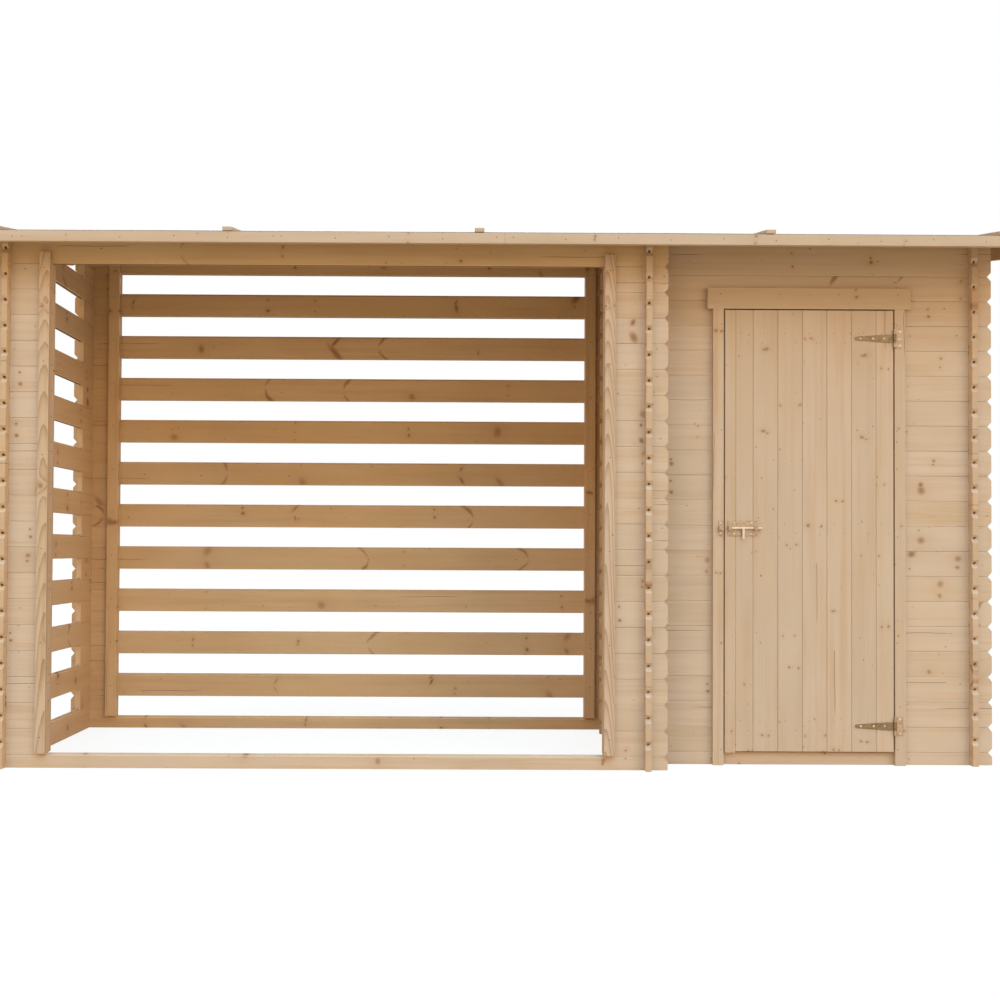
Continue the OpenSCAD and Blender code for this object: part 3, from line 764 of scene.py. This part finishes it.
def spots_mesh(name, spots):
    """Loose points, each with the direction that its head faces."""
    mesh = bpy.data.meshes.new(name)
    mesh.from_pydata([tuple(place) for place, _ in spots], [], [])
    facing = np.array([tuple(way) for _, way in spots], np.float32)
    mesh.attributes.new("facing", "FLOAT_VECTOR", "POINT").data.foreach_set("vector", facing.ravel())
    return mesh


def set_heads(name, recipe, spots, body, head):
    """Fastener heads of one size: radius, height and how far they stand out."""
    sizes = dict(zip(("Head radius", "Head height", "Proud"), head))
    mesh = recipe.make(name, spots_mesh(name + "_spots", spots), sizes)
    soften(mesh)
    belongs(link(name, mesh), body)


def spread(low, high, gap, margin):
    """Even places from low to high, a margin in from both ends and about a gap apart."""
    count = max(2, round((high - low - 2 * margin) / gap) + 1)
    return [low + margin + i * (high - low - 2 * margin) / (count - 1) for i in range(count)]


def middle(box, axis):
    low, high = box
    return (getattr(low, axis) + getattr(high, axis)) / 2


def frame_nail_spots():
    """Nails in the fascias, jambs, trims, head board and back posts."""
    fascia_gap, upright_gap, head_gap = 0.19, 0.38, 0.22
    fascia_end, upright_end, head_end, post_end = 0.03, 0.06, 0.05, 0.03
    fascia_rows, head_row = (0.58, 0.42), 0.7
    spots = []
    for node in FASCIAS:
        low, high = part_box(node)
        for i, x in enumerate(spread(low.x, high.x, fascia_gap, fascia_end)):
            z = low.z + fascia_rows[i % 2] * (high.z - low.z)
            spots.append((Vector((x, low.y, z)), TO_FRONT))
    low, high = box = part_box("back_fascia")
    for x in spread(low.x, high.x, fascia_gap, fascia_end):
        spots.append((Vector((x, high.y, middle(box, "z"))), TO_BACK))
    for node in (*JAMBS, *DOOR_TRIMS):
        low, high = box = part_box(node)
        for z in spread(low.z, high.z, upright_gap, upright_end):
            spots.append((Vector((middle(box, "x"), low.y, z)), TO_FRONT))
    low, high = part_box("door_head")
    for x in spread(low.x, high.x, head_gap, head_end):
        spots.append((Vector((x, low.y, low.z + head_row * (high.z - low.z))), TO_FRONT))
    for node in BACK_POSTS:
        low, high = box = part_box(node)
        for z in spread(SLAT_STEP, high.z, SLAT_STEP, 0.0):
            spots.append((Vector((middle(box, "x"), low.y, min(z, high.z - post_end))), TO_FRONT))
    return spots


def door_nail_spots():
    """Two nails through each door board into each ledge."""
    ledge_most, off_line = 0.12, 18 * MM
    ledges = [box for box in solid_boxes("door_ledges") if box[1].z - box[0].z < ledge_most]
    spots = []
    for low, high in solid_boxes("door_boards"):
        for ledge in ledges:
            for share, lift in ((0.28, off_line), (0.72, -off_line)):
                x = low.x + share * (high.x - low.x)
                spots.append((Vector((x, low.y, middle(ledge, "z") + lift)), TO_FRONT))
    return spots


def plate_spot(node, x, lift):
    """A screw on a plate's front, at a place along it and a height off its middle."""
    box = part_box(node)
    return Vector((x, box[1].y - PLATE_T, middle(box, "z") + lift)), TO_FRONT


def frame_screw_spots():
    """Screws of the hinge plates and of the bolt's keeper."""
    from_edge, hinge_off, keeper_off = 11 * MM, 26 * MM, 19 * MM
    spots = []
    for node in HINGE_PLATES:
        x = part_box(node)[1].x - from_edge
        spots += [plate_spot(node, x, lift) for lift in (-hinge_off, 0.0, hinge_off)]
    x = middle(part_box("bolt_keeper"), "x")
    return spots + [plate_spot("bolt_keeper", x, lift) for lift in (-keeper_off, keeper_off)]


def door_screw_spots():
    """Screws of the straps and of the bolt's plate."""
    knuckle, strap_places = 5 * MM, (38 * MM, 80 * MM, 128 * MM)
    from_end, plate_off = 24 * MM, 20 * MM
    spots = []
    for node in STRAPS:
        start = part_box(node)[1].x - knuckle
        spots += [plate_spot(node, start - back, 0.0) for back in strap_places]
    low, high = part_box("bolt_plate")
    for x in (low.x + from_end, high.x - from_end):
        spots += [plate_spot("bolt_plate", x, lift) for lift in (-plate_off, plate_off)]
    return spots


FRAME_NAIL = (2.6 * MM, 0.7 * MM, 0.08 * MM)
DOOR_NAIL = (1.7 * MM, 0.5 * MM, 0.1 * MM)
ROOF_NAIL = (4.2 * MM, 0.8 * MM, 0.5 * MM)
SCREW = (4.0 * MM, 0.9 * MM, 0.9 * MM)
nails = head_recipe("nail_head", NAIL_STEEL, recessed=False)
screws = head_recipe("screw_head", BOLT_ZINC, recessed=True)
set_heads("frame_nails", nails, frame_nail_spots(), "building", FRAME_NAIL)
set_heads("door_nails", nails, door_nail_spots(), "door", DOOR_NAIL)
set_heads("frame_screws", screws, frame_screw_spots(), "building", SCREW)
set_heads("door_screws", screws, door_screw_spots(), "door", SCREW)


# Roof

deck_low, deck_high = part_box("roof_deck")
felt_low, felt_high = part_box("roof_felt")
LAP_LOW, LAP_HIGH, LAP_RISE = -0.02, 0.07, 2.6 * MM


def roof_point(x, y, off):
    """A point at a height off the boards' underside, square to the roof."""
    return Vector((x, y, deck_low.z + (y - deck_low.y) * SLOPE)) + OFF_ROOF * off


def board_recipe():
    """Boards side by side along X, each run up the roof, with eased edges."""
    sizes = {"Count": 40, "Width": 0.0, "Gap": 1.0 * MM, "Thickness": 0.0, "Length": 0.0, "Ease": 2.0 * MM}
    boards = Recipe("roof_boards", sizes)
    width = boards.given("Width") - boards.given("Gap")
    quad = {"Width": width, "Height": boards.given("Thickness")}
    outline = boards.node("GeometryNodeCurvePrimitiveQuadrilateral", {"mode": "RECTANGLE"}, quad)
    ease = {"Curve": outline, "Radius": boards.given("Ease"), "Count": 1}
    outline = boards.node("GeometryNodeFilletCurve", {"mode": "POLY"}, ease)
    foot = boards.node("GeometryNodeFillCurve", {}, {"Curve": outline})
    run = {"Mesh": foot, "Offset": boards.vector(0.0, 0.0, boards.given("Length")), "Individual": False}
    body = boards.node("GeometryNodeExtrudeMesh", {"mode": "FACES"}, run)
    under = boards.node("GeometryNodeFlipFaces", {}, {"Mesh": foot})
    board = boards.node("GeometryNodeJoinGeometry", {}, {"Geometry": [body, under]})
    board = boards.node("GeometryNodeMergeByDistance", {}, {"Geometry": board, "Distance": BOARD_MERGE})
    row = {"Count": boards.given("Count"), "Offset": boards.vector(boards.given("Width"), 0.0, 0.0)}
    line = boards.node("GeometryNodeMeshLine", {"mode": "OFFSET"}, row, "Mesh")
    points = boards.node("GeometryNodeMeshToPoints", {}, {"Mesh": line})
    laid = {"Points": points, "Instance": board}
    boards.close(boards.node("GeometryNodeInstanceOnPoints", {}, laid, "Instances"), BOARD_WOOD)
    return boards


def roof_boards():
    """Boards in place of the CAD sheet, cut square at both ends."""
    count = 43
    width = 2 * deck_high.x / count
    cut_back = DECK_T * math.tan(PITCH)
    length = 2 * deck_high.y / math.cos(PITCH) - cut_back
    sizes = {"Count": count, "Width": width, "Thickness": DECK_T, "Length": length}
    mesh = board_recipe().make("roof_boards", bpy.data.meshes.new("roof_boards_start"), sizes)
    foot = roof_point(-deck_high.x + width / 2, -deck_high.y, DECK_T / 2) + UP_SLOPE * (cut_back / 2)
    lean = Matrix((Vector((1, 0, 0)), -OFF_ROOF, UP_SLOPE)).transposed().to_4x4()
    mesh.transform(Matrix.Translation(foot) @ lean)
    turn_outwards(mesh)
    lay_grain(mesh, leaning=True)
    soften(mesh)
    belongs(link("roof_boards", mesh), "building", "roof_deck")


def ripple(x, y):
    """A low wave on the felt's top, none of it at the roof's sides."""
    most, side_power = 0.5 * MM, 6
    wave = most * math.sin(x * 5.3 + y * 3.0) * math.sin(y * 21.0 + x * 1.7)
    return max(0.0, wave) * (1 - abs(x / felt_high.x) ** side_power)


def felt_course(work, low_y, high_y, off_low, off_high):
    """Adds one course of felt across the roof, as a closed sheet."""
    across, up = 120, 16
    half = felt_high.x
    layers = []
    for layer in (0, 1):
        rows = []
        for j in range(up + 1):
            y = low_y + (high_y - low_y) * j / up
            off = off_low + (off_high - off_low) * j / up
            xs = [-half + 2 * half * i / across for i in range(across + 1)]
            spots = [roof_point(x, y, off + layer * (FELT_T + ripple(x, y))) for x in xs]
            rows.append([work.verts.new(spot) for spot in spots])
        layers.append(rows)
    low, top = layers
    for j in range(up):
        for i in range(across):
            work.faces.new((top[j][i], top[j][i + 1], top[j + 1][i + 1], top[j + 1][i]))
            work.faces.new((low[j][i], low[j + 1][i], low[j + 1][i + 1], low[j][i + 1]))
    for i in range(across):
        work.faces.new((low[0][i], low[0][i + 1], top[0][i + 1], top[0][i]))
        work.faces.new((low[up][i + 1], low[up][i], top[up][i], top[up][i + 1]))
    for j in range(up):
        work.faces.new((low[j + 1][0], low[j][0], top[j][0], top[j + 1][0]))
        work.faces.new((low[j][across], low[j + 1][across], top[j + 1][across], top[j][across]))


def felt_courses():
    """Two courses of felt in place of the CAD sheet, the upper one lapped over the lower."""
    work = bmesh.new()
    felt_course(work, -deck_high.y, LAP_HIGH, DECK_T, DECK_T)
    felt_course(work, LAP_LOW, deck_high.y, DECK_T + LAP_RISE, DECK_T)
    bmesh.ops.recalc_face_normals(work, faces=work.faces)
    mesh = settled(work, "felt_courses")
    soften(mesh)
    belongs(link("felt_courses", mesh, FELT), "building", "roof_felt")


def roof_nail_spots():
    """Nails down each batten, and along the felt's edges and lap between the battens."""
    batten_half, batten_gap, batten_end = 0.6, 0.28, 0.05
    felt_gap, felt_end, from_edge, clear = 0.15, 0.04, 0.022, 0.03
    battens = [middle(box, "x") for box in solid_boxes("roof_battens")]
    lines = [
        (-deck_high.y + from_edge, 0.0),
        (LAP_LOW + from_edge, LAP_RISE),
        (deck_high.y - from_edge, 0.0),
    ]
    spots = []
    for x in battens:
        for y in spread(-batten_half, batten_half, batten_gap, batten_end):
            spots.append((roof_point(x, y, DECK_T + FELT_T + BATTEN_T), OFF_ROOF))
    for y, rise in lines:
        for x in spread(felt_low.x, felt_high.x, felt_gap, felt_end):
            if min(abs(x - batten) for batten in battens) > clear:
                spots.append((roof_point(x, y, DECK_T + FELT_T + rise), OFF_ROOF))
    return spots


roof_boards()
felt_courses()
set_heads("roof_nails", nails, roof_nail_spots(), "building", ROOF_NAIL)


# Floor, light and camera

WHITE, GREY = (1.0, 1.0, 1.0, 1.0), (0.16, 0.16, 0.16, 1.0)
WARM_AIR = (1.0, 0.8, 0.6, 1.0)
COOL_LIGHT, WARM_LIGHT, BACK_LIGHT = (0.43, 0.76, 1.0), (1.0, 0.72, 0.42), (0.86, 0.93, 1.0)


def pale_floor():
    """White to the camera, with a faint shadow; a warm tone to the light that it throws back."""
    ground = Finish(bpy.data.materials.new("pale_floor"))
    bounce = ground.node("ShaderNodeBsdfDiffuse", {}, {"Color": shade(218, 187, 149)})
    lit = ground.node("ShaderNodeBsdfDiffuse", {}, {"Color": GREY})
    glow = ground.node("ShaderNodeEmission", {}, {"Color": WHITE, "Strength": 0.86})
    white = ground.node("ShaderNodeAddShader", {}, {0: lit, 1: glow})
    return ground.close(ground.node("ShaderNodeMixShader", {}, {0: ground.shown(), 1: bounce, 2: white}))


def lay_floor():
    """A wide floor just under the store, for its shadow."""
    reach, below = 30.0, 0.5 * MM
    mesh = bpy.data.meshes.new("floor")
    corners = [(-reach, -reach, 0), (reach, -reach, 0), (reach, reach, 0), (-reach, reach, 0)]
    mesh.from_pydata(corners, [], [(0, 1, 2, 3)])
    floor = link("floor", mesh, pale_floor())
    floor.location.z = -below


def studio_world():
    """White to the camera, and a low warm light from all round."""
    sky = Finish(bpy.data.worlds.new("studio"))
    ambient = sky.node("ShaderNodeBackground", {}, {"Color": WARM_AIR, "Strength": 0.2})
    clear = sky.node("ShaderNodeBackground", {}, {"Color": WHITE, "Strength": 1.0})
    seen = sky.node("ShaderNodeMixShader", {}, {0: sky.shown(), 1: ambient, 2: clear})
    return sky.close(seen, "ShaderNodeOutputWorld")


def soft_sun(name, bearing, height, strength, breadth, colour):
    """A broad, even light. Angles are in degrees; bearing 0 is in front, 90 to the right and 180 behind."""
    lamp = bpy.data.lights.new(name, "SUN")
    lamp.energy = strength
    lamp.angle = math.radians(breadth)
    lamp.color = colour
    holder = bpy.data.objects.new(name, lamp)
    scene.collection.objects.link(holder)
    around, up = math.radians(bearing), math.radians(height)
    away = Vector((math.sin(around) * math.cos(up), -math.cos(around) * math.cos(up), math.sin(up)))
    holder.rotation_euler = away.to_track_quat("Z", "Y").to_euler()


def front_camera():
    """The photograph's view. Focal length and optical axis are in pixels of a square frame."""
    focal_px, axis_px, frame_px, sensor = 1084.9, (465.56, 532.83), 1000, 36.0
    turn, rise, tilt = math.radians(-0.1868), math.radians(0.907), math.radians(0.2777)
    lens = bpy.data.cameras.new("front_view")
    lens.sensor_fit = "HORIZONTAL"
    lens.sensor_width = sensor
    lens.lens = focal_px / frame_px * sensor
    lens.shift_x = (frame_px / 2 - axis_px[0]) / frame_px
    lens.shift_y = (axis_px[1] - frame_px / 2) / frame_px
    lens.clip_end = 200
    camera = bpy.data.objects.new("front_view", lens)
    level = Matrix.Rotation(math.radians(90) + rise, 3, "X")
    aim = Matrix.Rotation(turn, 3, "Z") @ level @ Matrix.Rotation(tilt, 3, "Z")
    camera.location = (-0.1277, -4.4466, 0.8041)
    camera.rotation_euler = aim.to_euler()
    scene.collection.objects.link(camera)
    return camera


lay_floor()
scene.world = studio_world()
soft_sun("key", bearing=8, height=61, strength=3.44, breadth=68, colour=COOL_LIGHT)
soft_sun("right_fill", bearing=47, height=14, strength=1.29, breadth=46, colour=WARM_LIGHT)
soft_sun("left_fill", bearing=-47, height=14, strength=0.92, breadth=46, colour=WARM_LIGHT)
soft_sun("back_fill", bearing=180, height=40, strength=1.7, breadth=60, colour=BACK_LIGHT)
scene.camera = front_camera()
scene.view_settings.view_transform = "Standard"
